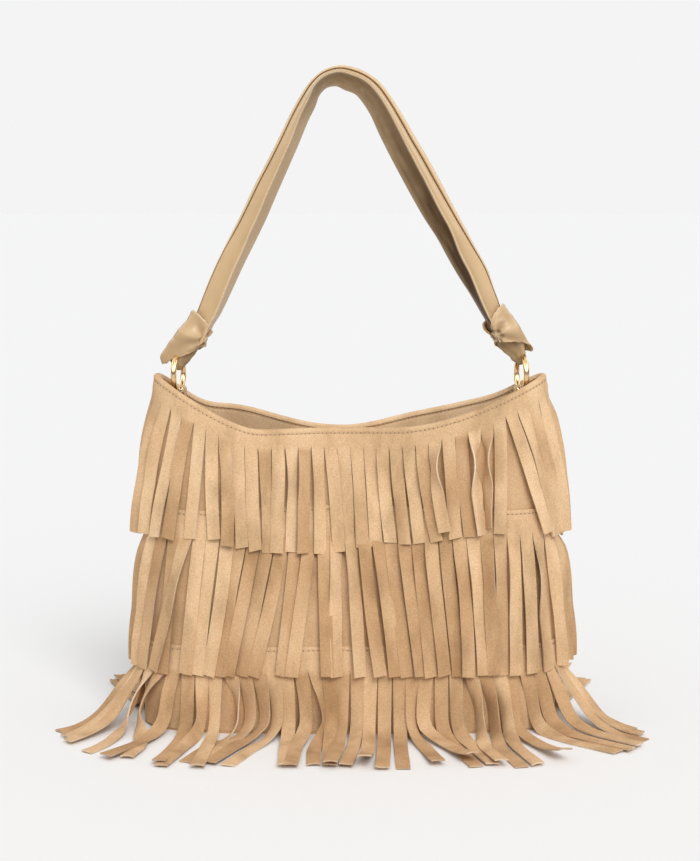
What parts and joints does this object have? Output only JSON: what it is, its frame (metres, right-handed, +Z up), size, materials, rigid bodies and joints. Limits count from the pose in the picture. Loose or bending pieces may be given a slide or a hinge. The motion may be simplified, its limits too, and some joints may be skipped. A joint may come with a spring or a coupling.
{
  "type": "fringed shoulder bag",
  "caption": "Soft suede shoulder bag with tiers of cut fringe and a leather strap knotted round two metal rings.",
  "frame": {"origin": "middle of the base's underside, on the surface that the bag stands on", "axes": "+X to the bag's right as seen from its front, +Y to its back, +Z up; the front faces -Y"},
  "size_m": [0.563, 0.3236, 0.5915],
  "materials": {
    "suede": "napped suede",
    "suede_base": "napped suede",
    "strap_leather": "smooth, semi-matt",
    "gold_metal": "polished gold plate",
    "lining_cloth": "plain woven",
    "board": "fibre board"
  },
  "bodies": {
    "bag": {"back_facing": "suede", "back_panel": "suede", "base_board": "board", "base_panel": "suede_base", "fringe_bottom_back": "suede", "fringe_bottom_front": "suede", "fringe_middle_back": "suede", "fringe_middle_front": "suede", "fringe_top_back": "suede", "fringe_top_front": "suede", "front_facing": "suede", "front_panel": "suede", "lining": "lining_cloth", "ring_tab_left": "strap_leather", "ring_tab_right": "strap_leather", "snap_socket": "gold_metal", "snap_stud": "gold_metal"},
    "handle": {"shoulder_strap": "strap_leather", "ring_left": "gold_metal", "ring_right": "gold_metal"}
  },
  "joints": [
    {"name": "handle_swing", "type": "hinge", "parent": "bag", "child": "handle", "pos_m": [0, 0, 0.316], "axis": [1, 0, 0], "range_deg": [-80, 80]}
  ]
}
